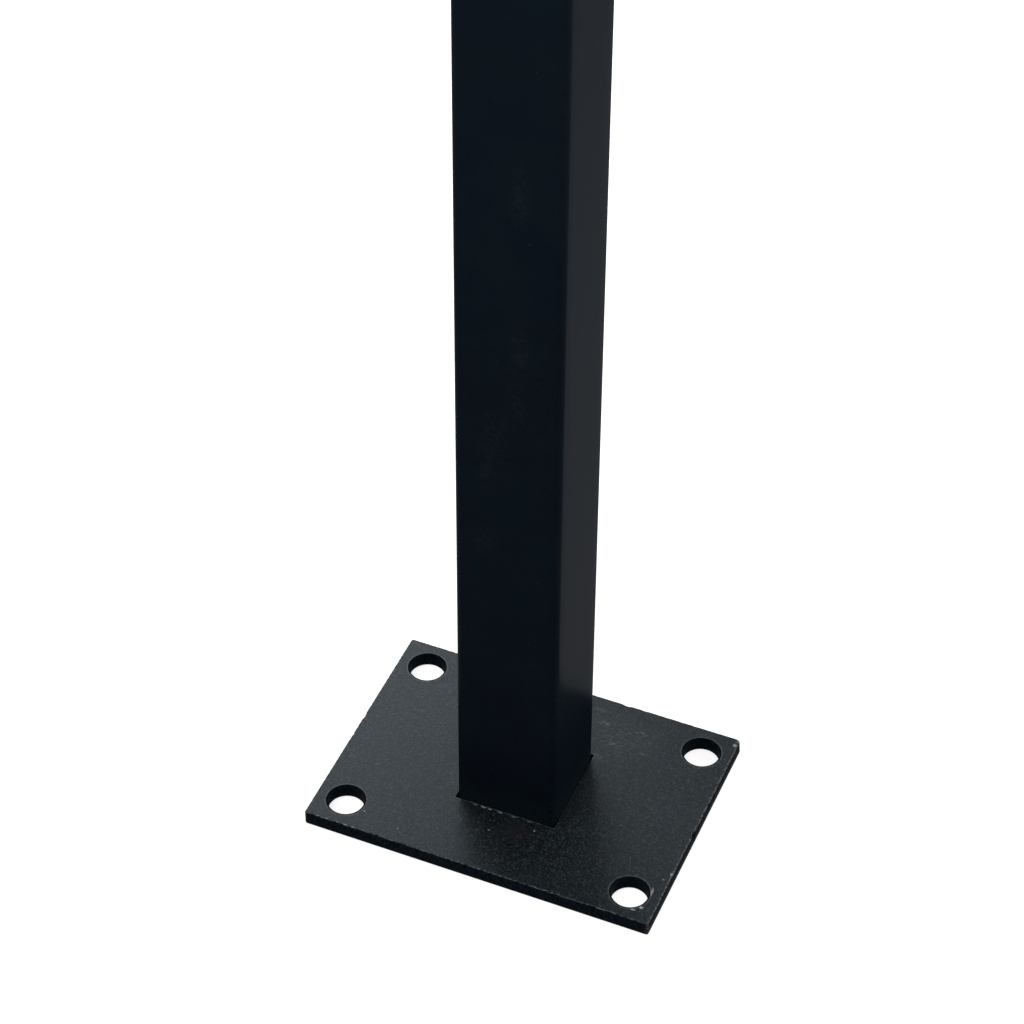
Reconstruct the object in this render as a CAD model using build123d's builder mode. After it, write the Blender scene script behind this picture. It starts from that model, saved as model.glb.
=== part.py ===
# Fence post mount: a square hollow post welded into a flat base plate with four bolt holes.
# Millimetres, +Z up, X along the plate's long side. The origin is on the plate's underside,
# on the middle line of the post.

import os

from build123d import *

# Base plate: flat steel with sheared edges
plate_length = 140.0
plate_width = 100.0
plate_thickness = 6.0
plate_corner_radius = 1.0
plate_edge_radius = 0.6

# Bolt holes: one near each corner, for M12 anchors
bolt_hole_diameter = 14.0
bolt_hole_inset = 12.0
bolt_hole_rim_chamfer = 0.4

# Post: cold-formed square hollow section
post_width = 40.0
post_wall = 2.0
post_corner_radius = 3.0
post_length = 494.0

# Square slot in the plate, in which the post's lower end stands
slot_clearance = 0.3

# Weld: laid from below, where it fills the slot under the post's end
weld_depth = 3.0
weld_recess = 0.3
weld_overhang = 0.8
weld_crown_radius = 0.9

# End cap: ribbed plastic plug in the top of the post
cap_head_thickness = 3.0
cap_head_edge_radius = 1.2
cap_stem_depth = 14.0
cap_stem_wall = 1.6
cap_rib_count = 3
cap_rib_thickness = 1.0
cap_rib_pitch = 3.6
cap_rib_height = 1.4
cap_rib_clearance = 0.1
cap_rib_taper = 12.0

# Sizes that follow from the ones above
least_radius = 0.2
bolt_spacing_x = plate_length - 2 * bolt_hole_inset
bolt_spacing_y = plate_width - 2 * bolt_hole_inset
slot_width = post_width + 2 * slot_clearance
post_bore_width = post_width - 2 * post_wall
post_bore_radius = max(post_corner_radius - post_wall, least_radius)
post_bottom = weld_depth
post_top = post_bottom + post_length
weld_opening_width = post_bore_width - 2 * weld_overhang
weld_height = weld_depth - weld_recess
rib_width = post_bore_width - 2 * cap_rib_clearance
rib_corner_radius = max(post_bore_radius - cap_rib_clearance, least_radius)
stem_width = rib_width - 2 * cap_rib_height
stem_bore_width = stem_width - 2 * cap_stem_wall

# Base plate: the outline, the slot and the holes are cut in one pass, then the outer edges and
# the hole rims lose their sharpness. The slot keeps the square corners that the cutter leaves.
with BuildPart() as base_plate:
    with BuildSketch(Plane.XY):
        RectangleRounded(plate_length, plate_width, plate_corner_radius)
        Rectangle(slot_width, slot_width, mode=Mode.SUBTRACT)
        with GridLocations(bolt_spacing_x, bolt_spacing_y, 2, 2):
            Circle(bolt_hole_diameter / 2, mode=Mode.SUBTRACT)
    extrude(amount=plate_thickness)
    underside = base_plate.faces().sort_by(Axis.Z)[0]
    top_face = base_plate.faces().sort_by(Axis.Z)[-1]
    fillet(underside.outer_wire().edges() + top_face.outer_wire().edges(), radius=plate_edge_radius)
    hole_rims = base_plate.edges().filter_by(lambda edge: edge.is_closed)
    chamfer(hole_rims, length=bolt_hole_rim_chamfer)
base_plate.part.label = "base_plate"

# Post: the hollow section rolled from strip, round at its corners inside and outside. Its end
# stops inside the plate, short of the underside, to leave the weld its groove.
with BuildPart() as post_tube:
    with BuildSketch(Plane.XY.offset(post_bottom)):
        RectangleRounded(post_width, post_width, post_corner_radius)
        RectangleRounded(post_bore_width, post_bore_width, post_bore_radius, mode=Mode.SUBTRACT)
    extrude(amount=post_length)
post_tube.part.label = "post_tube"

# Weld bead: one closed ring against the slot's walls and the post's end. Its crown is rounded
# and stays inside the underside, so that the plate lies flat.
with BuildPart() as weld_bead:
    with BuildSketch(Plane.XY.offset(weld_recess)):
        Rectangle(slot_width, slot_width)
        RectangleRounded(weld_opening_width, weld_opening_width, post_bore_radius, mode=Mode.SUBTRACT)
    extrude(amount=weld_height)
    crown = weld_bead.faces().sort_by(Axis.Z)[0]
    fillet(crown.edges(), radius=weld_crown_radius)
weld_bead.part.label = "weld_bead"

# End cap: the head lies on the post's end and continues its outline. The ribs taper downwards
# and grip the inside of the post, and the stem that carries them is hollow from below.
with BuildPart() as end_cap:
    with BuildSketch(Plane.XY.offset(post_top)):
        RectangleRounded(post_width, post_width, post_corner_radius)
    extrude(amount=cap_head_thickness)
    fillet(end_cap.faces().sort_by(Axis.Z)[-1].outer_wire().edges(), radius=cap_head_edge_radius)
    with BuildSketch(Plane.XY.offset(post_top)):
        Rectangle(stem_width, stem_width)
    extrude(amount=-cap_stem_depth)
    for rib_number in range(1, cap_rib_count + 1):
        with BuildSketch(Plane.XY.offset(post_top - rib_number * cap_rib_pitch)):
            RectangleRounded(rib_width, rib_width, rib_corner_radius)
        extrude(amount=-cap_rib_thickness, taper=cap_rib_taper)
    with BuildSketch(Plane.XY.offset(post_top)):
        Rectangle(stem_bore_width, stem_bore_width)
    extrude(amount=-cap_stem_depth, mode=Mode.SUBTRACT)
end_cap.part.label = "end_cap"

# One file for each piece
os.makedirs("parts", exist_ok=True)
for piece in (base_plate, post_tube, weld_bead, end_cap):
    export_step(piece.part, f"parts/{piece.part.label}.step")
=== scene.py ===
import math

import bmesh
import bpy
from mathutils import Matrix, Vector, noise


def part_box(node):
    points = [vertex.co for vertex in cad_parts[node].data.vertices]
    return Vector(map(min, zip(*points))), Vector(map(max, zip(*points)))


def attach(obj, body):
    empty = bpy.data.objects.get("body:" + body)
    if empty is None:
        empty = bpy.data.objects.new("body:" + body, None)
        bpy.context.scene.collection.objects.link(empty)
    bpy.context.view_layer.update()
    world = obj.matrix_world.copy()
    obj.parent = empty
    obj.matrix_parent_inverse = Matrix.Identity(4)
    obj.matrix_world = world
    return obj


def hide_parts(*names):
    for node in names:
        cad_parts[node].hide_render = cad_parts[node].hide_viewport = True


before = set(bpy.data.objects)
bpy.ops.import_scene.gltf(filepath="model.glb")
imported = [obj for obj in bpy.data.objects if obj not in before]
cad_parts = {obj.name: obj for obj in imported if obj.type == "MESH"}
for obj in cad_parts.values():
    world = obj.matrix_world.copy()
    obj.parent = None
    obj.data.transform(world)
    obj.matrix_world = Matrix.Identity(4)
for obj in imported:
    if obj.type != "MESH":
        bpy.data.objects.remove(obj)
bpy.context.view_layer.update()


# Camera: a long lens in front of the plate and to its right, which looks down at it by 43 degrees.
# The post runs out of the frame at the top.
camera_aim = Vector((-0.0052, -0.0022, 0.1453))
camera_distance = 1.1398
camera_azimuth = 22.69
camera_height_angle = 43.4
camera_roll = 0.34
camera_lens = 113.2
camera_sensor = 36.0


def way_to(azimuth, height_angle):
    """The way to an angle in degrees round the plate from its front, and above the floor."""
    azimuth, height_angle = math.radians(azimuth), math.radians(height_angle)
    return Vector((
        math.sin(azimuth) * math.cos(height_angle),
        -math.cos(azimuth) * math.cos(height_angle),
        math.sin(height_angle),
    ))


camera_data = bpy.data.cameras.new("camera")
camera_data.lens = camera_lens
camera_data.sensor_width = camera_sensor
camera_back = way_to(camera_azimuth, camera_height_angle)
camera_facing = (-camera_back).to_track_quat("-Z", "Y")
camera_tilt = Matrix.Rotation(math.radians(camera_roll), 3, "Z").to_quaternion()
camera = bpy.data.objects.new("camera", camera_data)
camera.location = camera_aim + camera_back * camera_distance
camera.rotation_mode = "QUATERNION"
camera.rotation_quaternion = camera_facing @ camera_tilt
bpy.context.scene.collection.objects.link(camera)
bpy.context.scene.camera = camera
bpy.context.scene.view_settings.view_transform = "Standard"


# Floor: one wide pale sheet under the plate. It shows white where nothing shades it, to the eye
# and in reflections alike, and the object still shades it.
MM = 0.001
floor_radius = 12.0
floor_sides = 64
floor_drop = 0.4 * MM
floor_white = 0.6
floor_lift = 0.74


def link(mesh, name):
    """Puts a mesh into the scene as a new object at the origin."""
    piece = bpy.data.objects.new(name, mesh)
    bpy.context.scene.collection.objects.link(piece)
    return piece


def node_adder(tree):
    """A short way to add a node to a tree, with its settings, its values and its links."""

    def add(kind, inputs=None, **settings):
        node = tree.nodes.new(kind)
        for key, value in settings.items():
            setattr(node, key, value)
        for key, value in (inputs or {}).items():
            if isinstance(value, bpy.types.NodeSocket):
                tree.links.new(value, node.inputs[key])
            else:
                node.inputs[key].default_value = value
        return node

    return add


def new_material(name):
    """A material with an empty node tree, and the means to fill it."""
    material = bpy.data.materials.new(name)
    material.use_nodes = True
    material.node_tree.nodes.clear()
    return material, node_adder(material.node_tree)


def calc(add, operation, first, second=0.0, third=0.0):
    """One step of arithmetic between node outputs or plain numbers."""
    return add("ShaderNodeMath", {0: first, 1: second, 2: third}, operation=operation).outputs[0]


floor_material, add = new_material("pale_floor")
ray = add("ShaderNodeLightPath").outputs
seen = calc(add, "MAXIMUM", ray["Is Camera Ray"], ray["Is Glossy Ray"])
seen = calc(add, "MAXIMUM", seen, ray["Is Transmission Ray"])
matt = add("ShaderNodeBsdfDiffuse", {"Color": (floor_white, floor_white, floor_white, 1.0)})
glow = add("ShaderNodeEmission", {
    "Color": (1.0, 1.0, 1.0, 1.0),
    "Strength": calc(add, "MULTIPLY", seen, floor_lift),
})
both = add("ShaderNodeAddShader", {0: matt.outputs[0], 1: glow.outputs[0]})
add("ShaderNodeOutputMaterial", {"Surface": both.outputs[0]})

floor_mesh = bpy.data.meshes.new("floor")
floor_form = bmesh.new()
bmesh.ops.create_circle(floor_form, cap_ends=True, segments=floor_sides, radius=floor_radius)
bmesh.ops.translate(floor_form, verts=floor_form.verts, vec=(0.0, 0.0, -floor_drop))
floor_form.to_mesh(floor_mesh)
floor_form.free()
floor_mesh.materials.append(floor_material)
link(floor_mesh, "floor")


# Light: an even pale sky and three soft boxes. The coat mirrors the one behind the plate's left,
# and no flat side mirrors the ones above the front and on the right to the camera.
sky_strength = 0.35

world = bpy.data.worlds.new("sky")
world.use_nodes = True
sky = world.node_tree.nodes["Background"]
sky.inputs["Color"].default_value = (1.0, 1.0, 1.0, 1.0)
sky.inputs["Strength"].default_value = sky_strength
bpy.context.scene.world = world


def soft_box(name, azimuth, height_angle, distance, size, brightness):
    """A square soft box at an angle round the plate, turned towards it, as bright as stated."""
    lamp = bpy.data.lights.new(name, "AREA")
    lamp.size = size
    lamp.energy = brightness * math.pi * size * size
    holder = bpy.data.objects.new(name, lamp)
    away = way_to(azimuth, height_angle)
    holder.location = away * distance
    holder.rotation_mode = "QUATERNION"
    holder.rotation_quaternion = (-away).to_track_quat("-Z", "Y")
    bpy.context.scene.collection.objects.link(holder)


soft_box("soft_box_back", azimuth=223.0, height_angle=24.0, distance=0.6, size=0.45, brightness=2.4)
soft_box("soft_box_front", azimuth=-20.0, height_angle=62.0, distance=1.3, size=1.0, brightness=2.5)
soft_box("soft_box_right", azimuth=115.0, height_angle=25.0, distance=1.0, size=0.7, brightness=2.6)


# Base plate: flat steel cut to 140 by 100 mm, with four bolt holes and a square slot for the post,
# then powder coated. Handling has worn its sheared edges down to small grey nicks, and the coat
# has run into the gap along the post's front and right.
plate_low, plate_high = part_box("base_plate")
plate_corner_radius = 1.0 * MM
plate_corner_steps = 5
plate_edge_radius = 0.4 * MM
plate_edge_step = 0.4 * MM
hole_inset = 12.0 * MM
hole_radius = 7.0 * MM
hole_rim_radius = 0.45 * MM
slot_half = 20.3 * MM
slot_corner_radius = 0.15 * MM
slot_corner_steps = 2
slot_rim_radius = 0.12 * MM
opening_step = 0.7 * MM
round_steps = 6
support_strip = 0.28 * MM
edge_waver = 0.12 * MM
edge_waver_length = 2.5 * MM
nick_size = 1.3 * MM
nick_rarity = 0.12
nick_depth = 1.2 * MM
nick_sharpness = 1.5
nick_drop = 0.5
other_sides_wear = 0.35
coat_run = 0.25 * MM
coat_run_half = 16.0 * MM
coat_run_fade = 1.5 * MM
coat_run_waver_length = 1.3 * MM


def rounded_square(half_x, half_y, radius, step, corner_steps):
    """Points of a rectangle with round corners, anticlockwise, each with its outward direction."""
    corners = ((1, 1), (-1, 1), (-1, -1), (1, -1))
    points = []
    for turn, corner in enumerate(corners):
        centre = Vector((corner[0] * (half_x - radius), corner[1] * (half_y - radius)))
        for i in range(corner_steps + 1):
            angle = math.pi / 2 * (turn + i / corner_steps)
            outward = Vector((math.cos(angle), math.sin(angle)))
            points.append((centre + outward * radius, outward))
        after = corners[(turn + 1) % 4]
        start = centre + outward * radius
        end = Vector((after[0] * (half_x - radius), after[1] * (half_y - radius))) + outward * radius
        pieces = max(1, round((end - start).length / step))
        points += [(start.lerp(end, i / pieces), outward) for i in range(1, pieces)]
    return points


def round_outline(centre, radius, step):
    """Points of a round hole's edge, anticlockwise, each with its direction away from the middle."""
    count = round(2 * math.pi * radius / step)
    points = []
    for i in range(count):
        angle = 2 * math.pi * i / count
        outward = Vector((math.cos(angle), math.sin(angle)))
        points.append((Vector(centre) + outward * radius, outward))
    return points


def wall(form, outline, low, high, radius, into_metal, change=None, coated_rings=5):
    """Skins the upright wall of an outline, with its edges rounded, and returns its flat rims.

    The metal lies outside the outline where into_metal is 1, and inside it where it is -1. The
    topmost rings of faces take the coat of the plate's top, and the rest that of its edges.
    """
    stack = [(radius + 2 * support_strip, 0.0), (radius + support_strip, 0.0)]
    for i in range(round_steps + 1):
        angle = math.pi / 2 * i / round_steps
        stack.append((radius * (1 - math.sin(angle)), radius * (1 - math.cos(angle))))
    top_coat_from = 2 * len(stack) - 1 - coated_rings
    stack += [(inset, high - low - rise) for inset, rise in reversed(stack)]
    rings = []
    for inset, rise in stack:
        ring = []
        for place, outward in outline:
            point = place + outward * inset * into_metal
            spot = Vector((point.x, point.y, low + rise))
            if change is not None:
                spot = change(spot, outward, inset)
            ring.append(form.verts.new(spot))
        rings.append(ring)
    for level, (below, above) in enumerate(zip(rings, rings[1:])):
        for i in range(len(below)):
            j = (i + 1) % len(below)
            corners = (below[i], below[j], above[j], above[i])
            face = form.faces.new(corners if into_metal < 0 else corners[::-1])
            face.material_index = 0 if level >= top_coat_from else 1
    return rings[0], rings[-1]


def fill_flat(form, rims, up):
    """Closes a flat side between its outer rim and the rims of its holes."""
    edges = []
    for rim in rims:
        edges += [form.edges.get((rim[i], rim[(i + 1) % len(rim)])) for i in range(len(rim))]
    towards = (0, 0, 1 if up else -1)
    made = bmesh.ops.triangle_fill(form, use_beauty=True, edges=edges, normal=towards)
    for face in made["geom"]:
        if isinstance(face, bmesh.types.BMFace):
            face.normal_update()
            if (face.normal.z > 0) != up:
                face.normal_flip()


def keep_form(form, name, sharp_angle=None):
    """Turns a finished form into a smooth-shaded mesh, with edges past the angle left sharp."""
    mesh = bpy.data.meshes.new(name)
    form.to_mesh(mesh)
    form.free()
    mesh.polygons.foreach_set("use_smooth", [True] * len(mesh.polygons))
    if sharp_angle is not None:
        mesh.set_sharp_from_angle(angle=math.radians(sharp_angle))
    mesh.update()
    return mesh


# Nicks along the plate's upper edges: where on the plate, how far round, and how deep
nicks = (
    (-57.7 * MM, -50.0 * MM, 1.6 * MM, 0.30 * MM),
    (-47.4 * MM, -50.0 * MM, 0.9 * MM, 0.45 * MM),
    (-44.8 * MM, -50.0 * MM, 1.2 * MM, 0.35 * MM),
    (-42.2 * MM, -50.0 * MM, 0.8 * MM, 0.45 * MM),
    (-38.6 * MM, -50.0 * MM, 0.9 * MM, 0.35 * MM),
    (-30.2 * MM, -50.0 * MM, 2.0 * MM, 0.25 * MM),
    (48.5 * MM, -50.0 * MM, 1.5 * MM, 0.30 * MM),
    (54.5 * MM, -50.0 * MM, 2.2 * MM, 0.30 * MM),
    (70.0 * MM, -2.4 * MM, 1.8 * MM, 0.85 * MM),
    (70.0 * MM, 14.0 * MM, 2.0 * MM, 0.20 * MM),
    (70.0 * MM, 50.0 * MM, 1.5 * MM, 0.60 * MM),
    (-70.0 * MM, 4.3 * MM, 1.2 * MM, 0.35 * MM),
    (-70.0 * MM, -6.0 * MM, 0.9 * MM, 0.25 * MM),
    (22.6 * MM, 50.0 * MM, 1.8 * MM, 0.45 * MM),
)


def worn_edge(spot, outward, inset):
    """Lets the plate's outer edge waver a little and bites the nicks out of its upper corner."""
    upper = (spot.z - plate_low.z) / (plate_high.z - plate_low.z)
    near_edge = 1.0 - min(1.0, inset / (plate_edge_radius + support_strip))
    flat_spot = Vector((spot.x, spot.y, 0.0))
    waver = noise.noise(flat_spot / edge_waver_length) * edge_waver
    small_nick = max(0.0, noise.noise(flat_spot / nick_size) - nick_rarity) * nick_depth
    back = (max(0.0, waver) + small_nick * upper ** 3) * near_edge * upper
    back *= 1.0 if outward.y < -0.5 else other_sides_wear
    drop = 0.0
    for x, y, reach, depth in nicks:
        apart = math.hypot(spot.x - x, spot.y - y) / reach
        bite = depth * math.exp(-apart * apart * nick_sharpness)
        back += bite * near_edge * upper ** 3
        drop += nick_drop * bite * near_edge * upper ** 6
    return Vector((spot.x - outward.x * back, spot.y - outward.y * back, spot.z - drop))


def coat_in_gap(spot, outward, inset):
    """Draws the slot's upper rim in towards the post along two sides, where the coat has run in."""
    upper = (spot.z - plate_low.z) / (plate_high.z - plate_low.z)
    if outward.x > 0.5:
        along = abs(spot.y)
    elif outward.y < -0.5:
        along = abs(spot.x)
    else:
        return spot
    reach = max(0.0, min(1.0, (coat_run_half - along) / coat_run_fade))
    near_rim = 1.0 - min(1.0, inset / (slot_rim_radius + support_strip))
    flat_spot = Vector((spot.x, spot.y, 0.0))
    ragged = 0.75 + 0.25 * noise.noise(flat_spot / coat_run_waver_length)
    run = coat_run * reach * near_rim * ragged * upper ** 2
    return Vector((spot.x - outward.x * run, spot.y - outward.y * run, spot.z))


form = bmesh.new()
outer = rounded_square(
    plate_high.x, plate_high.y, plate_corner_radius, plate_edge_step, plate_corner_steps,
)
rims = [wall(form, outer, plate_low.z, plate_high.z, plate_edge_radius, -1, worn_edge)]
for side_x in (-1, 1):
    for side_y in (-1, 1):
        hole_centre = (side_x * (plate_high.x - hole_inset), side_y * (plate_high.y - hole_inset))
        hole = round_outline(hole_centre, hole_radius, opening_step)
        rims.append(wall(form, hole, plate_low.z, plate_high.z, hole_rim_radius, 1, coated_rings=1))
slot = rounded_square(slot_half, slot_half, slot_corner_radius, opening_step, slot_corner_steps)
rims.append(wall(form, slot, plate_low.z, plate_high.z, slot_rim_radius, 1, coat_in_gap))
fill_flat(form, [rim[0] for rim in rims], up=False)
fill_flat(form, [rim[1] for rim in rims], up=True)
bmesh.ops.recalc_face_normals(form, faces=form.faces)
plate_mesh = keep_form(form, "base_plate_coated")


def grain(add, place, size, detail, rough=0.6):
    """Noise at a real grain size, on the piece's own coordinates."""
    inputs = {"Vector": place, "Scale": 1.0 / size, "Detail": detail, "Roughness": rough}
    return add("ShaderNodeTexNoise", inputs).outputs["Fac"]


def ramp(add, value, low, high, to_low=0.0, to_high=1.0):
    """Stretches a value between two levels, held at the ends."""
    inputs = {"Value": value, "From Min": low, "From Max": high, "To Min": to_low, "To Max": to_high}
    return add("ShaderNodeMapRange", inputs, clamp=True).outputs["Result"]


def blend_colours(add, amount, first, second):
    """Mixes two colours by an amount. Each may be a colour or another node's output."""
    inputs = {0: amount, 6: first, 7: second}
    for key in (6, 7):
        if not isinstance(inputs[key], bpy.types.NodeSocket):
            inputs[key] = (*inputs[key], 1.0)
    return add("ShaderNodeMix", inputs, data_type="RGBA").outputs[2]


def spot_mask(add, place, centre, reach, soft, stretch):
    """One at a place on the plate, fading to nothing at a distance from it."""
    moved = add("ShaderNodeMapping", {
        "Vector": place,
        "Location": (-centre[0] * stretch[0], -centre[1] * stretch[1], 0.0),
        "Scale": (stretch[0], stretch[1], 0.0),
    })
    apart = add("ShaderNodeVectorMath", {0: moved.outputs[0]}, operation="LENGTH").outputs["Value"]
    return ramp(add, apart, reach, reach - soft)


def finish_coat(add, colour, bumps, bump_strength, bump_depth, gloss):
    """Ends a material in its surface, with a colour, fine bumps and the gloss given."""
    bump = add("ShaderNodeBump", {
        "Height": bumps, "Strength": bump_strength, "Distance": bump_depth,
    })
    surface = add("ShaderNodeBsdfPrincipled", {
        "Base Color": colour, "Normal": bump.outputs["Normal"], **gloss,
    })
    add("ShaderNodeOutputMaterial", {"Surface": surface.outputs[0]})


# Marks on the plate's coat: where, how far they reach, how they are stretched, and how strong
rubbed_places = (
    ((17.9 * MM, 37.4 * MM), 2.6 * MM, (0.6, 1.6), 1.0),
    ((13.4 * MM, 43.4 * MM), 2.2 * MM, (0.6, 1.6), 0.9),
    ((32.8 * MM, 37.8 * MM), 2.2 * MM, (0.6, 1.6), 0.9),
    ((25.5 * MM, 28.7 * MM), 2.4 * MM, (0.5, 2.0), 0.8),
    ((38.3 * MM, 28.3 * MM), 2.0 * MM, (0.6, 1.6), 0.7),
    ((20.0 * MM, 20.0 * MM), 4.0 * MM, (0.5, 2.2), 0.5),
    ((26.0 * MM, 33.0 * MM), 16.0 * MM, (0.8, 1.2), 0.3),
    ((-25.0 * MM, -12.0 * MM), 6.0 * MM, (1.8, 0.7), 0.2),
)
chip_places = (
    ((68.6 * MM, 46.4 * MM), 1.6 * MM, (1.0, 1.0), 1.0),
    ((69.0 * MM, 48.6 * MM), 1.1 * MM, (0.8, 1.2), 0.5),
    ((65.5 * MM, -35.0 * MM), 3.4 * MM, (2.6, 0.75), 0.7),
    ((64.5 * MM, -43.2 * MM), 1.9 * MM, (1.0, 1.3), 1.0),
    ((62.1 * MM, -45.3 * MM), 1.5 * MM, (0.7, 1.6), 0.8),
    ((51.0 * MM, -49.8 * MM), 2.4 * MM, (0.45, 3.0), 0.3),
    ((-64.5 * MM, -49.5 * MM), 1.2 * MM, (0.8, 2.2), 0.6),
    ((-60.8 * MM, -49.5 * MM), 1.2 * MM, (0.7, 2.2), 0.7),
    ((-57.0 * MM, -49.5 * MM), 1.3 * MM, (0.5, 2.3), 0.7),
    ((-53.2 * MM, -49.5 * MM), 1.3 * MM, (0.6, 2.3), 0.8),
    ((-49.8 * MM, -49.5 * MM), 1.1 * MM, (0.8, 2.3), 0.7),
    ((-45.6 * MM, -49.5 * MM), 1.0 * MM, (0.9, 2.3), 0.5),
    ((-70.0 * MM, 2.0 * MM), 1.4 * MM, (2.5, 0.5), 0.8),
    ((-11.8 * MM, -20.9 * MM), 1.3 * MM, (0.6, 2.4), 0.5),
    ((-8.4 * MM, -20.9 * MM), 1.4 * MM, (0.6, 2.2), 0.9),
    ((-5.6 * MM, -21.0 * MM), 1.3 * MM, (0.8, 2.0), 1.0),
    ((-1.4 * MM, -20.9 * MM), 1.4 * MM, (0.6, 2.2), 0.7),
    ((4.0 * MM, -20.9 * MM), 1.3 * MM, (0.5, 2.6), 0.5),
    ((10.5 * MM, -20.9 * MM), 1.2 * MM, (0.6, 2.6), 0.4),
    ((-2.0 * MM, -30.6 * MM), 0.8 * MM, (1.0, 1.0), 0.6),
    ((-7.2 * MM, -28.6 * MM), 0.7 * MM, (1.0, 1.0), 0.3),
    ((14.0 * MM, -24.4 * MM), 0.9 * MM, (1.0, 1.0), 0.6),
    ((-49.2 * MM, -40.6 * MM), 0.8 * MM, (0.9, 1.0), 0.8),
    ((69.3 * MM, -24.0 * MM), 1.4 * MM, (1.4, 0.7), 0.8),
    ((67.4 * MM, -27.5 * MM), 1.0 * MM, (0.7, 1.2), 0.4),
    ((-34.0 * MM, -43.5 * MM), 0.9 * MM, (1.0, 1.0), 0.4),
)
stain_place = (7.4 * MM, -27.2 * MM)
stain_reach = 8.0 * MM
stain_soft = 6.5 * MM
stain_stretch = (0.8, 1.2)

# The coat's grain, and its colours from the deepest black to chipped metal
coat_grain = 0.42 * MM
fleck_size = 0.45 * MM
fleck_rounding = 0.35
fleck_contrast = 3.0
cloud_size = 7.0 * MM
dust_spacing = 3.2 * MM
streak_size = 1.0 * MM
stain_patch_size = 0.8 * MM
wear_size = 1.2 * MM
chip_size = 0.5 * MM
dull_patch_size = 1.0 * MM
coat_bump = 0.12 * MM
dull_black = (0.0002, 0.0010, 0.0020)
pale_black = (0.0270, 0.0350, 0.0400)
cloud_black = (0.0060, 0.0100, 0.0130)
stain_brown = (0.0145, 0.0110, 0.0125)
dusty_grey = (0.055, 0.063, 0.068)
rub_and_highlight_grey = (0.090, 0.105, 0.110)
chipped_grey = (0.30, 0.32, 0.31)
cool_gloss = (0.72, 0.89, 1.0, 1.0)

plate_coat, add = new_material("plate_coat")
place = add("ShaderNodeTexCoord").outputs["Object"]
across = add("ShaderNodeSeparateXYZ", {"Vector": place}).outputs
side_x = calc(add, "ABSOLUTE", across["X"])
side_y = calc(add, "ABSOLUTE", across["Y"])
from_edge_x = calc(add, "SUBTRACT", plate_high.x, side_x)
from_edge_y = calc(add, "SUBTRACT", plate_high.y, side_y)
from_edge = calc(add, "MINIMUM", from_edge_x, from_edge_y)
from_hole = add("ShaderNodeCombineXYZ", {
    "X": calc(add, "SUBTRACT", from_edge_x, hole_inset),
    "Y": calc(add, "SUBTRACT", from_edge_y, hole_inset),
})
from_hole = add("ShaderNodeVectorMath", {0: from_hole.outputs[0]}, operation="LENGTH").outputs["Value"]
from_hole = calc(add, "SUBTRACT", from_hole, hole_radius)
from_slot = calc(add, "SUBTRACT", calc(add, "MAXIMUM", side_x, side_y), slot_half)
on_top = ramp(add, across["Z"], 4.6 * MM, 5.2 * MM)

# Black with fine pale flecks, slow clouds and settled dust
fine = grain(add, place, coat_grain, detail=2.0, rough=0.7)
cells = add("ShaderNodeTexVoronoi", {
    "Vector": place, "Scale": 1.0 / fleck_size, "Smoothness": fleck_rounding,
}, feature="SMOOTH_F1").outputs["Color"]
flecks = add("ShaderNodeSeparateColor", {0: cells}).outputs[0]
flecks = calc(add, "POWER", flecks, fleck_contrast)
cloud = grain(add, place, cloud_size, detail=3.0)
dust = add("ShaderNodeTexVoronoi", {
    "Vector": place, "Scale": 1.0 / dust_spacing,
}, voronoi_dimensions="2D").outputs
dust_picked = add("ShaderNodeSeparateColor", {0: dust["Color"]}).outputs[1]
dust_picked = ramp(add, dust_picked, 0.4, 1.0)
speckle = calc(add, "MULTIPLY", ramp(add, dust["Distance"], 0.12, 0.04), dust_picked)
coat = blend_colours(add, flecks, dull_black, pale_black)
coat = blend_colours(add, ramp(add, cloud, 0.35, 0.75, to_high=0.2), coat, cloud_black)
coat = blend_colours(add, speckle, coat, dusty_grey)

# Rubbed streaks, and a faint brown stain in front of the post
streaks = add("ShaderNodeMapping", {"Vector": place, "Scale": (0.5, 1.3, 1.0)}).outputs[0]
streaks = ramp(add, grain(add, streaks, streak_size, detail=2.0), 0.46, 0.60)
streaks = calc(add, "MULTIPLY", streaks, on_top)
for centre, reach, stretch, strength in rubbed_places:
    rubbed = spot_mask(add, place, centre, reach, reach * 0.8, stretch)
    rubbed = calc(add, "MULTIPLY", calc(add, "MULTIPLY", rubbed, streaks), strength)
    coat = blend_colours(add, rubbed, coat, rub_and_highlight_grey)
patchy = grain(add, place, stain_patch_size, detail=3.0, rough=0.7)
patchy = ramp(add, patchy, 0.38, 0.62, to_low=0.15, to_high=0.9)
patchy = calc(add, "MULTIPLY", patchy, on_top)
stain = spot_mask(add, place, stain_place, stain_reach, stain_soft, stain_stretch)
coat = blend_colours(add, calc(add, "MULTIPLY", stain, patchy), coat, stain_brown)

# Wear along the outer edges, round the holes and along the slot's front. Along the outer edges, the
# hole rims and the right rim the grey is also a painted highlight on the rounded lips.
ragged = grain(add, place, wear_size, detail=3.0)
# Outer edges: wear, and a painted highlight along the rounded upper edge
wear_and_highlight = ramp(add, from_edge, 1.0 * MM, 0.2 * MM)
wear_and_highlight = calc(add, "MULTIPLY", wear_and_highlight, ramp(add, ragged, 0.50, 0.62))
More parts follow.
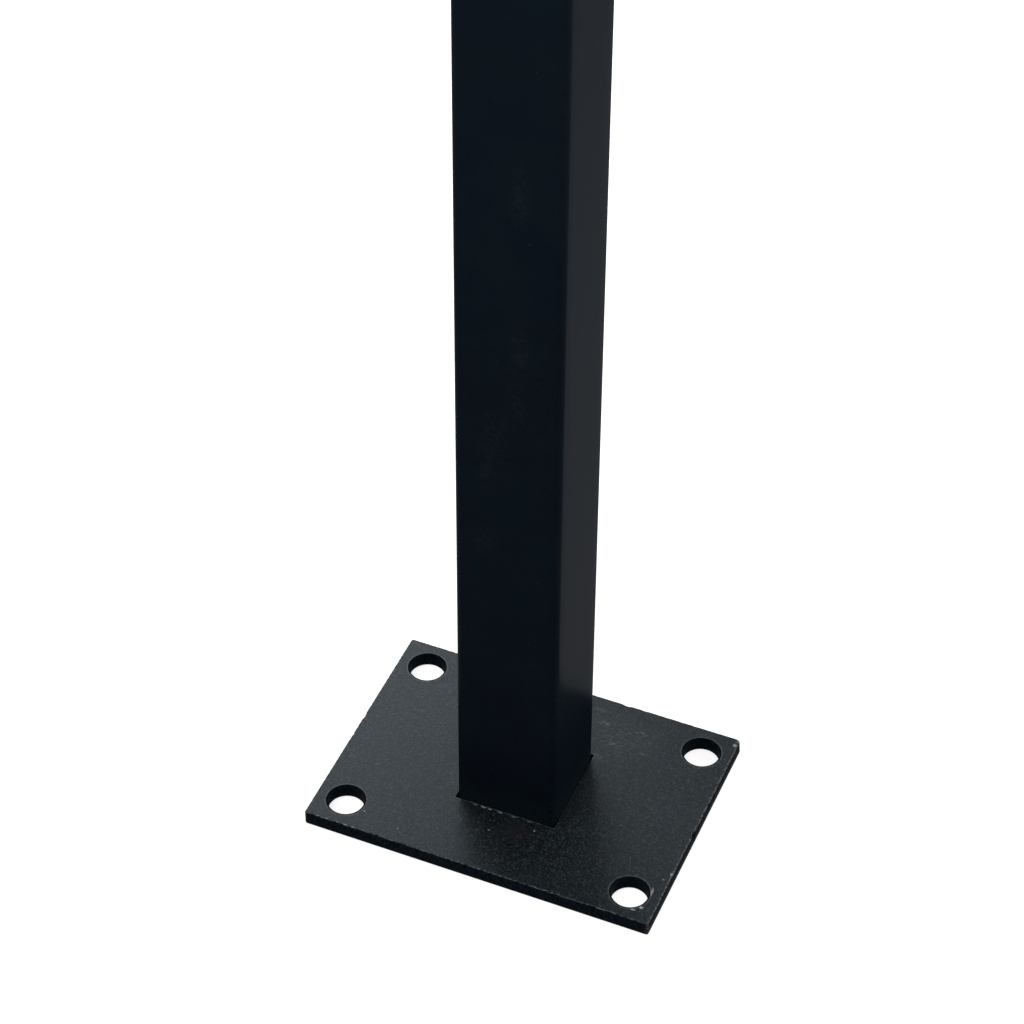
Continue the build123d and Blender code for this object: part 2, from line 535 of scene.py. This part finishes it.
# Hole rims: wear, and a painted highlight just beyond each hole's lip
hole_rim = ramp(add, from_hole, 1.35 * MM, 0.95 * MM)
hole_ragged = ramp(add, ragged, 0.35, 0.60, to_low=0.1, to_high=0.7)
hole_rim = calc(add, "MULTIPLY", hole_rim, hole_ragged)
slot_rim = ramp(add, from_slot, 0.5 * MM, 0.1 * MM)
slot_rim = calc(add, "MULTIPLY", slot_rim, ramp(add, ragged, 0.42, 0.62, to_low=0.1))
slot_front = ramp(add, across["Y"], -19.0 * MM, -20.0 * MM, to_low=0.1)
slot_rim = calc(add, "MULTIPLY", slot_rim, slot_front)
wear_and_highlight = calc(add, "MAXIMUM", wear_and_highlight, calc(add, "MAXIMUM", hole_rim, slot_rim))
# Right rim: a painted highlight along the plate's right upper edge, ragged like wear
right_rim = ramp(add, across["X"], 69.0 * MM, 69.5 * MM)
right_rim = calc(add, "MULTIPLY", right_rim, ramp(add, ragged, 0.44, 0.58))
wear_and_highlight = calc(add, "MAXIMUM", wear_and_highlight, right_rim)
coat = blend_colours(add, wear_and_highlight, coat, rub_and_highlight_grey)

# Chips through the coat
torn = grain(add, place, chip_size, detail=3.0)
for centre, reach, stretch, strength in chip_places:
    chip = spot_mask(add, place, centre, reach, reach * 0.9, stretch)
    chip = ramp(add, calc(add, "MULTIPLY_ADD", chip, 0.7, torn), 0.92, 1.02, to_high=strength)
    coat = blend_colours(add, calc(add, "MULTIPLY", chip, on_top), coat, chipped_grey)

# Duller in patches close to the edges
dulled = ramp(add, grain(add, place, dull_patch_size, detail=2.0), 0.50, 0.58)
dulled = calc(add, "MULTIPLY", dulled, ramp(add, from_edge, 1.3 * MM, 0.5 * MM))
finish_coat(add, coat, fine, bump_strength=1.0, bump_depth=coat_bump, gloss={
    "Roughness": calc(add, "MULTIPLY_ADD", dulled, 0.5, 0.36),
    "IOR": 1.5,
    "Specular Tint": cool_gloss,
})
plate_mesh.materials.append(plate_coat)

# The sheared edges and the walls of the openings are duller than the top. The right side is painted
# darkest, as painted shade, with a paler brownish strip low down, and the plate's four rounded
# corners are grey, partly wear and partly a painted highlight.
edge_grain = 0.8 * MM
edge_deep_black = (0.0008, 0.0024, 0.0042)
edge_pale_black = (0.0052, 0.0096, 0.0135)
edge_fleck_grey = (0.030, 0.034, 0.038)
painted_shade_right_black = (0.0014, 0.0014, 0.0018)
low_strip_brown = (0.0170, 0.0145, 0.0150)
corner_wear_and_highlight_grey = (0.070, 0.072, 0.074)
corner_reach = plate_high.x + plate_high.y

plate_edge_coat, add = new_material("plate_edge_coat")
place = add("ShaderNodeTexCoord").outputs["Object"]
across = add("ShaderNodeSeparateXYZ", {"Vector": place}).outputs
sheared = add("ShaderNodeMapping", {"Vector": place, "Scale": (1.0, 1.0, 0.6)}).outputs[0]
sheared = grain(add, sheared, wear_size, detail=3.0, rough=0.7)
fine = grain(add, place, edge_grain, detail=2.0)
coat = blend_colours(add, ramp(add, sheared, 0.35, 0.65), edge_deep_black, edge_pale_black)
coat = blend_colours(add, ramp(add, fine, 0.66, 0.74), coat, edge_fleck_grey)
# Painted shade: the right side is held darker than the other edges
right_side = ramp(add, across["X"], 69.3 * MM, 69.6 * MM)
coat = blend_colours(add, right_side, coat, painted_shade_right_black)
# A paler brownish strip low down on the right side
low_strip = ramp(add, across["Z"], 3.4 * MM, 1.6 * MM)
low_strip = calc(add, "MULTIPLY", low_strip, ramp(add, fine, 0.35, 0.60, to_low=0.4))
coat = blend_colours(add, calc(add, "MULTIPLY", low_strip, right_side), coat, low_strip_brown)
from_middle = calc(
    add, "ADD", calc(add, "ABSOLUTE", across["X"]), calc(add, "ABSOLUTE", across["Y"]),
)
# Grey on the four rounded corners: wear, and a painted highlight on the rounding
corner_wear_and_highlight = ramp(add, from_middle, corner_reach - 1.3 * MM, corner_reach - 0.7 * MM)
corner_wear_and_highlight = calc(add, "MULTIPLY", corner_wear_and_highlight, ramp(add, fine, 0.42, 0.56))
coat = blend_colours(add, corner_wear_and_highlight, coat, corner_wear_and_highlight_grey)
finish_coat(add, coat, sheared, bump_strength=1.0, bump_depth=coat_bump, gloss={
    "Roughness": 0.6,
    "IOR": 1.045,
})
plate_mesh.materials.append(plate_edge_coat)

plate = link(plate_mesh, "base_plate_coated")
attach(plate, "root")
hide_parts("base_plate")


# Weld: one closed ring of weld metal, laid from below into the plate's slot under the post's end.
# It stays inside the plate's underside, which lies flat, and its ripples are coated with the rest.
weld_low, weld_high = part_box("weld_bead")
bead_inner_half = 17.2 * MM
bead_crown_radius = 0.9 * MM
bead_crown_steps = 5
bead_section_step = 0.25 * MM
bead_join_gap = 0.02 * MM
bead_waver = 0.12 * MM
bead_waver_length = 5.0 * MM
ripple_pitch = 2.1 * MM
ripple_depth = 0.40 * MM
ripple_bow = 0.55
ripple_flatness = 0.6
steps_for_ripple = 8.0
weld_grain = 0.6 * MM
weld_cloud_size = 4.0 * MM
weld_bump = 0.05 * MM
weld_deep_black = (0.0050, 0.0065, 0.0090)
weld_pale_black = (0.0120, 0.0145, 0.0180)
weld_fleck_grey = (0.045, 0.047, 0.048)


def new_shape_tree(name, size_names):
    """A Geometry Nodes tree with a geometry in and out and a named input for each size."""
    tree = bpy.data.node_groups.new(name, "GeometryNodeTree")
    tree.interface.new_socket("Geometry", in_out="INPUT", socket_type="NodeSocketGeometry")
    for size_name in size_names:
        tree.interface.new_socket(size_name, in_out="INPUT", socket_type="NodeSocketFloat")
    tree.interface.new_socket("Geometry", in_out="OUTPUT", socket_type="NodeSocketGeometry")
    add = node_adder(tree)
    return tree, add, add("NodeGroupInput").outputs


def run_shape_tree(piece, tree, sizes):
    """Runs a tree on a piece at the sizes given, and keeps the result as the piece's own mesh."""
    modifier = piece.modifiers.new(tree.name, "NODES")
    modifier.node_group = tree
    for socket in tree.interface.items_tree:
        if socket.in_out == "INPUT" and socket.name in sizes:
            modifier[socket.identifier] = sizes[socket.name]
    shown = piece.evaluated_get(bpy.context.evaluated_depsgraph_get())
    mesh = bpy.data.meshes.new_from_object(shown)
    piece.modifiers.remove(modifier)
    piece.data = mesh


weld_coat, add = new_material("weld_coat")
place = add("ShaderNodeTexCoord").outputs["Object"]
fine = grain(add, place, weld_grain, detail=3.0)
cloud = grain(add, place, weld_cloud_size, detail=3.0)
coat = blend_colours(add, ramp(add, cloud, 0.35, 0.65), weld_deep_black, weld_pale_black)
coat = blend_colours(add, ramp(add, fine, 0.64, 0.72), coat, weld_fleck_grey)
finish_coat(add, coat, fine, bump_strength=0.6, bump_depth=weld_bump, gloss={
    "Roughness": 0.38,
    "IOR": 1.45,
    "Specular Tint": cool_gloss,
})

# One side of the ring: a bar with a rounded section, cut into steps along its length
bead_tree, add, given = new_shape_tree("rippled_bead", (
    "Path half", "Bead width", "Bead height", "Crown radius", "Middle height",
    "Ripple pitch", "Ripple depth", "Ripple bow", "Waver",
))
path_y = calc(add, "MULTIPLY", given["Path half"], -1.0)
start = add("ShaderNodeCombineXYZ", {"X": path_y, "Y": path_y, "Z": given["Middle height"]})
end = add("ShaderNodeCombineXYZ", {
    "X": given["Path half"], "Y": path_y, "Z": given["Middle height"],
})
run = add("GeometryNodeCurvePrimitiveLine", {"Start": start.outputs[0], "End": end.outputs[0]})
step = calc(add, "DIVIDE", given["Ripple pitch"], steps_for_ripple)
run = add("GeometryNodeResampleCurve", {"Curve": run.outputs[0], "Length": step}, mode="LENGTH")
section = add("GeometryNodeCurvePrimitiveQuadrilateral", {
    "Width": given["Bead width"], "Height": given["Bead height"],
})
section = add("GeometryNodeFilletCurve", {
    "Curve": section.outputs[0],
    "Count": bead_crown_steps,
    "Radius": given["Crown radius"],
    "Limit Radius": True,
}, mode="POLY")
section = add("GeometryNodeResampleCurve", {
    "Curve": section.outputs[0], "Length": bead_section_step,
}, mode="LENGTH")
side = add("GeometryNodeCurveToMesh", {
    "Curve": run.outputs[0], "Profile Curve": section.outputs[0],
}).outputs[0]

# Its ripples: each swells and bows along the bead, with a valley cut up from below on either side.
# The side's ends are drawn in to a mitre at the same time.
spot = add("GeometryNodeInputPosition").outputs[0]
at = add("ShaderNodeSeparateXYZ", {0: spot}).outputs
off_middle = calc(add, "SUBTRACT", at["Y"], path_y)
off_middle = calc(add, "DIVIDE", off_middle, calc(add, "MULTIPLY", given["Bead width"], 0.5))
bowed = calc(add, "MULTIPLY", calc(add, "MULTIPLY", off_middle, off_middle), given["Ripple bow"])
phase = calc(add, "SUBTRACT", calc(add, "DIVIDE", at["X"], given["Ripple pitch"]), bowed)
swell = calc(add, "FRACT", phase)
swell = calc(add, "MULTIPLY", swell, calc(add, "SUBTRACT", 1.0, swell))
swell = calc(add, "POWER", calc(add, "MULTIPLY", swell, 4.0), ripple_flatness)
valley = calc(add, "MULTIPLY", calc(add, "SUBTRACT", 1.0, swell), given["Ripple depth"])
below_middle = calc(add, "SUBTRACT", given["Middle height"], at["Z"])
half_height = calc(add, "MULTIPLY", given["Bead height"], 0.5)
underside = ramp(add, below_middle, 0.0, half_height)
valley = calc(add, "MULTIPLY", valley, underside)
mitred = calc(add, "MULTIPLY", at["X"], calc(add, "DIVIDE", at["Y"], path_y))
moved = add("ShaderNodeCombineXYZ", {
    "X": mitred, "Y": at["Y"], "Z": calc(add, "ADD", at["Z"], valley),
}).outputs[0]
side = add("GeometryNodeSetPosition", {"Geometry": side, "Position": moved}).outputs[0]

# The ring: four such sides joined at their mitres, uneven along its crown
corner_points = add("GeometryNodePoints", {"Count": 4}).outputs[0]
quarter = calc(add, "MULTIPLY", add("GeometryNodeInputIndex").outputs[0], math.pi / 2)
turn = add("ShaderNodeCombineXYZ", {"Z": quarter}).outputs[0]
ring = add("GeometryNodeInstanceOnPoints", {
    "Points": corner_points, "Instance": side, "Rotation": turn,
}).outputs[0]
ring = add("GeometryNodeRealizeInstances", {"Geometry": ring}).outputs[0]
ring = add("GeometryNodeMergeByDistance", {"Geometry": ring, "Distance": bead_join_gap}).outputs[0]
uneven = add("ShaderNodeTexNoise", {
    "Vector": spot, "Scale": 1.0 / bead_waver_length, "Detail": 2.0,
}).outputs["Fac"]
rise = calc(add, "MULTIPLY", calc(add, "MULTIPLY", uneven, given["Waver"]), underside)
lift = add("ShaderNodeCombineXYZ", {"Z": rise}).outputs[0]
ring = add("GeometryNodeSetPosition", {"Geometry": ring, "Offset": lift}).outputs[0]
ring = add("GeometryNodeSetShadeSmooth", {"Geometry": ring}).outputs[0]
ring = add("GeometryNodeSetMaterial", {"Geometry": ring, "Material": weld_coat}).outputs[0]
add("NodeGroupOutput", {"Geometry": ring})

bead = link(bpy.data.meshes.new("weld_bead_rippled"), "weld_bead_rippled")
bead_path_half = (weld_high.x + bead_inner_half) / 2
run_shape_tree(bead, bead_tree, {
    "Path half": bead_path_half,
    "Bead width": weld_high.x - bead_inner_half,
    "Bead height": weld_high.z - weld_low.z,
    "Crown radius": bead_crown_radius,
    "Middle height": (weld_low.z + weld_high.z) / 2,
    "Ripple pitch": 2 * bead_path_half / round(2 * bead_path_half / ripple_pitch),
    "Ripple depth": ripple_depth,
    "Ripple bow": ripple_bow,
    "Waver": bead_waver,
})
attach(bead, "root")
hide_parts("weld_bead")


# Post: 40 mm square hollow section, cold formed from 2 mm steel strip with round corners, coated
# in a smoother satin black. It stands in the plate's slot, on the weld.
tube_low, tube_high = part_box("post_tube")
tube_wall = 2.0 * MM
tube_corner_radius = 3.0 * MM
tube_corner_steps = 10
tube_side_pieces = 7
tube_ring_gap = 12.0 * MM
sharp_from = 40.0


def skin(form, rings, outward=True):
    """Joins rings of points, lowest first, into one wall facing away from the middle or into it."""
    made = [[form.verts.new(point) for point in ring] for ring in rings]
    for below, above in zip(made, made[1:]):
        for i in range(len(below)):
            j = (i + 1) % len(below)
            corners = (below[i], below[j], above[j], above[i])
            form.faces.new(corners if outward else corners[::-1])
    return made


def band(form, outer_ring, inner_ring, up):
    """Joins two rings of as many points at one end of a hollow form."""
    for i in range(len(outer_ring)):
        j = (i + 1) % len(outer_ring)
        corners = (outer_ring[i], outer_ring[j], inner_ring[j], inner_ring[i])
        form.faces.new(corners if up else corners[::-1])


def square_ring(half, radius, z, side_pieces):
    """A square with round corners, with as many points at any size, as points in space."""
    step = 2 * (half - radius) / side_pieces
    return [(p.x, p.y, z) for p, _ in rounded_square(half, half, radius, step, tube_corner_steps)]


form = bmesh.new()
levels = round((tube_high.z - tube_low.z) / tube_ring_gap)
heights = [tube_low.z + (tube_high.z - tube_low.z) * i / levels for i in range(levels + 1)]
bore_half = tube_high.x - tube_wall
bore_radius = tube_corner_radius - tube_wall
outside = [square_ring(tube_high.x, tube_corner_radius, z, tube_side_pieces) for z in heights]
inside = [square_ring(bore_half, bore_radius, z, tube_side_pieces) for z in heights]
outside = skin(form, outside)
inside = skin(form, inside, outward=False)
band(form, outside[0], inside[0], up=False)
band(form, outside[-1], inside[-1], up=True)
tube_mesh = keep_form(form, "post_tube_coated", sharp_from)

# Smudges on the post's front: how far across and up, their reach, their stretch, and how strong
smudge_places = (
    ((4.2 * MM, 301.0 * MM), 16.0 * MM, (3.2, 1.0), 0.45),
    ((4.4 * MM, 237.0 * MM), 14.0 * MM, (2.8, 1.0), 0.45),
    ((3.4 * MM, 213.0 * MM), 14.0 * MM, (2.8, 1.0), 0.30),
    ((-4.0 * MM, 197.0 * MM), 18.0 * MM, (2.4, 0.9), 0.30),
    ((-8.0 * MM, 180.0 * MM), 13.0 * MM, (2.4, 1.0), 0.30),
    ((-9.0 * MM, 146.0 * MM), 12.0 * MM, (1.5, 1.2), 0.20),
)

# The post's coat is painted darker at its foot and paler towards its top, as painted light and
# shade, and greyer just above the plate, as a painted reflection of the plate
post_grain = 0.8 * MM
post_cloud_size = 25.0 * MM
blotch_size = 2.2 * MM
smear_size = 2.4 * MM
post_bump = 0.03 * MM
shaded_foot_deep_black = (0.0026, 0.0042, 0.0080)
shaded_foot_pale_black = (0.0022, 0.0054, 0.0088)
lit_top_deep_black = (0.0050, 0.0090, 0.0155)
lit_top_pale_black = (0.0058, 0.0118, 0.0172)
fine_black = (0.0095, 0.0140, 0.0195)
blotch_grey = (0.016, 0.020, 0.024)
painted_reflection_grey = (0.008, 0.013, 0.016)
smudge_grey = (0.018, 0.023, 0.028)

post_coat, add = new_material("post_coat")
place = add("ShaderNodeTexCoord").outputs["Object"]
fine = grain(add, place, post_grain, detail=3.0)
cloud = grain(add, place, post_cloud_size, detail=3.0)
across = add("ShaderNodeSeparateXYZ", {"Vector": place}).outputs
# Painted reflection of the plate: a greyer band on the post just above it, broken up by the grain
plate_reflection_band = ramp(add, across["Z"], 20.0 * MM, 8.0 * MM)
plate_reflection_band = calc(add, "MULTIPLY", plate_reflection_band, ramp(add, fine, 0.40, 0.60))
# Painted light and shade: the coat runs from darker at the foot to paler towards the top
painted_light_by_height = ramp(add, across["Z"], 60.0 * MM, 420.0 * MM)
deep = blend_colours(add, painted_light_by_height, shaded_foot_deep_black, lit_top_deep_black)
pale = blend_colours(add, painted_light_by_height, shaded_foot_pale_black, lit_top_pale_black)
coat = blend_colours(add, ramp(add, cloud, 0.40, 0.60), deep, pale)
coat = blend_colours(add, ramp(add, fine, 0.35, 0.70, to_high=0.40), coat, fine_black)
blotch = ramp(add, grain(add, place, blotch_size, detail=1.0), 0.72, 0.80, to_high=0.5)
coat = blend_colours(add, blotch, coat, blotch_grey)
coat = blend_colours(add, plate_reflection_band, coat, painted_reflection_grey)
on_front = add("ShaderNodeCombineXYZ", {"X": across["X"], "Y": across["Z"]}).outputs[0]
smeared = ramp(add, grain(add, place, smear_size, detail=4.0, rough=0.7), 0.42, 0.62)
lacy = calc(add, "MULTIPLY", ramp(add, across["Y"], -19.0 * MM, -19.8 * MM), smeared)
for centre, reach, stretch, strength in smudge_places:
    smudge = spot_mask(add, on_front, centre, reach, reach * 0.9, stretch)
    smudge = calc(add, "MULTIPLY", calc(add, "MULTIPLY", smudge, lacy), strength)
    coat = blend_colours(add, smudge, coat, smudge_grey)
finish_coat(add, coat, fine, bump_strength=0.12, bump_depth=post_bump, gloss={
    "Roughness": 0.6,
    "Specular IOR Level": 0.0,
    "Coat Weight": 0.37,
    "Coat Roughness": 0.3,
    "Coat IOR": 1.06,
})
tube_mesh.materials.append(post_coat)
post = link(tube_mesh, "post_tube_coated")
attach(post, "root")
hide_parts("post_tube")


# End cap: a moulded black plastic plug pushed into the post's open top. Its flat head covers the
# tube's wall, and three thin ribs round its hollow stem grip the bore.
cap_low, cap_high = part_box("end_cap")
cap_head_thickness = 3.0 * MM
cap_edge_radius = 1.2 * MM
cap_crown = 0.12 * MM
cap_crown_shares = (0.985, 0.9, 0.75, 0.5, 0.25)
cap_side_pieces = 8
cap_stem_wall = 1.6 * MM
cap_stem_corner_radius = 0.5 * MM
cap_stem_roof_shares = (0.3, 1.0)
cap_rib_count = 3
cap_rib_pitch = 3.6 * MM
cap_rib_thickness = 1.0 * MM
cap_rib_height = 1.4 * MM
cap_rib_clearance = 0.1 * MM
cap_rib_taper = 12.0
cap_rib_corner_radius = 0.3 * MM
cap_rib_corner_steps = 3
cap_rib_sink = 0.1 * MM
cap_head_low = cap_high.z - cap_head_thickness
cap_stem_half = bore_half - cap_rib_clearance - cap_rib_height
cap_stem_bore_half = cap_stem_half - cap_stem_wall
cap_grain = 0.35 * MM
cap_cloud_size = 12.0 * MM
cap_bump = 0.03 * MM
cap_deep_black = (0.0090, 0.0092, 0.0095)
cap_pale_black = (0.0125, 0.0128, 0.0132)
cap_fleck_grey = (0.035, 0.035, 0.034)

cap_plastic, add = new_material("cap_plastic")
place = add("ShaderNodeTexCoord").outputs["Object"]
fine = grain(add, place, cap_grain, detail=2.0)
cloud = grain(add, place, cap_cloud_size, detail=2.0)
coat = blend_colours(add, ramp(add, cloud, 0.3, 0.7), cap_deep_black, cap_pale_black)
coat = blend_colours(add, ramp(add, fine, 0.68, 0.76), coat, cap_fleck_grey)
finish_coat(add, coat, fine, bump_strength=0.5, bump_depth=cap_bump, gloss={
    "Roughness": 0.5,
    "IOR": 1.49,
})


def cap_ring(half, radius, z):
    """One ring of the cap's skin."""
    return square_ring(half, radius, z, cap_side_pieces)


# The skin goes from the roof of the stem's hollow down to its rim, up its outside, out under the
# head, round the head's edge and in over its top
rings = []
for share in cap_stem_roof_shares:
    rings.append(cap_ring(cap_stem_bore_half * share, cap_stem_corner_radius * share, cap_head_low))
rings.append(cap_ring(cap_stem_bore_half, cap_stem_corner_radius, cap_low.z))
rings.append(cap_ring(cap_stem_half, cap_stem_corner_radius, cap_low.z))
rings.append(cap_ring(cap_stem_half, cap_stem_corner_radius, cap_head_low))
rings.append(cap_ring(cap_high.x, tube_corner_radius, cap_head_low))
for i in range(round_steps + 1):
    angle = math.pi / 2 * i / round_steps
    drawn_in = cap_edge_radius * (1 - math.cos(angle))
    ring_z = cap_high.z - cap_crown - cap_edge_radius * (1 - math.sin(angle))
    rings.append(cap_ring(cap_high.x - drawn_in, tube_corner_radius - drawn_in, ring_z))
top_half = cap_high.x - cap_edge_radius
top_radius = tube_corner_radius - cap_edge_radius
for share in cap_crown_shares:
    ring_z = cap_high.z - cap_crown * share ** 2
    rings.append(cap_ring(top_half * share, top_radius * share, ring_z))

form = bmesh.new()
made = skin(form, rings)
form.faces.new(made[0][::-1])
form.faces.new(made[-1])
cap = link(keep_form(form, "end_cap_moulded", sharp_from), "end_cap_moulded")

# The ribs: one square ring, narrower at its lower face, repeated down the stem
rib_tree, add, given = new_shape_tree("stem_ribs", (
    "Path half", "Corner radius", "Rib height", "Rib thickness", "Rib pitch", "Rib taper", "Head low",
))
side_length = calc(add, "MULTIPLY", given["Path half"], 2.0)
rib = add("GeometryNodeCurvePrimitiveQuadrilateral", {
    "Width": side_length, "Height": side_length,
}).outputs[0]
rib = add("GeometryNodeFilletCurve", {
    "Curve": rib,
    "Count": cap_rib_corner_steps,
    "Radius": given["Corner radius"],
    "Limit Radius": True,
}, mode="POLY").outputs[0]
section = add("GeometryNodeCurvePrimitiveQuadrilateral", {
    "Width": given["Rib height"], "Height": given["Rib thickness"],
}).outputs[0]
rib = add("GeometryNodeCurveToMesh", {"Curve": rib, "Profile Curve": section}).outputs[0]
at = add("ShaderNodeSeparateXYZ", {0: add("GeometryNodeInputPosition").outputs[0]}).outputs
narrower = calc(add, "DIVIDE", at["Z"], given["Path half"])
narrower = calc(add, "MULTIPLY", given["Rib taper"], narrower)
narrower = calc(add, "ADD", narrower, 1.0)
moved = add("ShaderNodeCombineXYZ", {
    "X": calc(add, "MULTIPLY", at["X"], narrower),
    "Y": calc(add, "MULTIPLY", at["Y"], narrower),
    "Z": at["Z"],
}).outputs[0]
rib = add("GeometryNodeSetPosition", {"Geometry": rib, "Position": moved}).outputs[0]
lower = calc(add, "MULTIPLY", given["Rib pitch"], -1.0)
half_thickness = calc(add, "MULTIPLY", given["Rib thickness"], 0.5)
first = calc(add, "SUBTRACT", calc(add, "ADD", given["Head low"], lower), half_thickness)
places = add("GeometryNodeMeshLine", {
    "Count": cap_rib_count,
    "Start Location": add("ShaderNodeCombineXYZ", {"Z": first}).outputs[0],
    "Offset": add("ShaderNodeCombineXYZ", {"Z": lower}).outputs[0],
}).outputs[0]
ribs = add("GeometryNodeInstanceOnPoints", {"Points": places, "Instance": rib}).outputs[0]
whole = add("GeometryNodeJoinGeometry")
rib_tree.links.new(given["Geometry"], whole.inputs[0])
rib_tree.links.new(ribs, whole.inputs[0])
whole = add("GeometryNodeRealizeInstances", {"Geometry": whole.outputs[0]}).outputs[0]
whole = add("GeometryNodeSetMaterial", {"Geometry": whole, "Material": cap_plastic}).outputs[0]
add("NodeGroupOutput", {"Geometry": whole})

run_shape_tree(cap, rib_tree, {
    "Path half": cap_stem_half + (cap_rib_height - cap_rib_sink) / 2,
    "Corner radius": cap_rib_corner_radius,
    "Rib height": cap_rib_height + cap_rib_sink,
    "Rib thickness": cap_rib_thickness,
    "Rib pitch": cap_rib_pitch,
    "Rib taper": math.tan(math.radians(cap_rib_taper)),
    "Head low": cap_head_low,
})
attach(cap, "root")
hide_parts("end_cap")
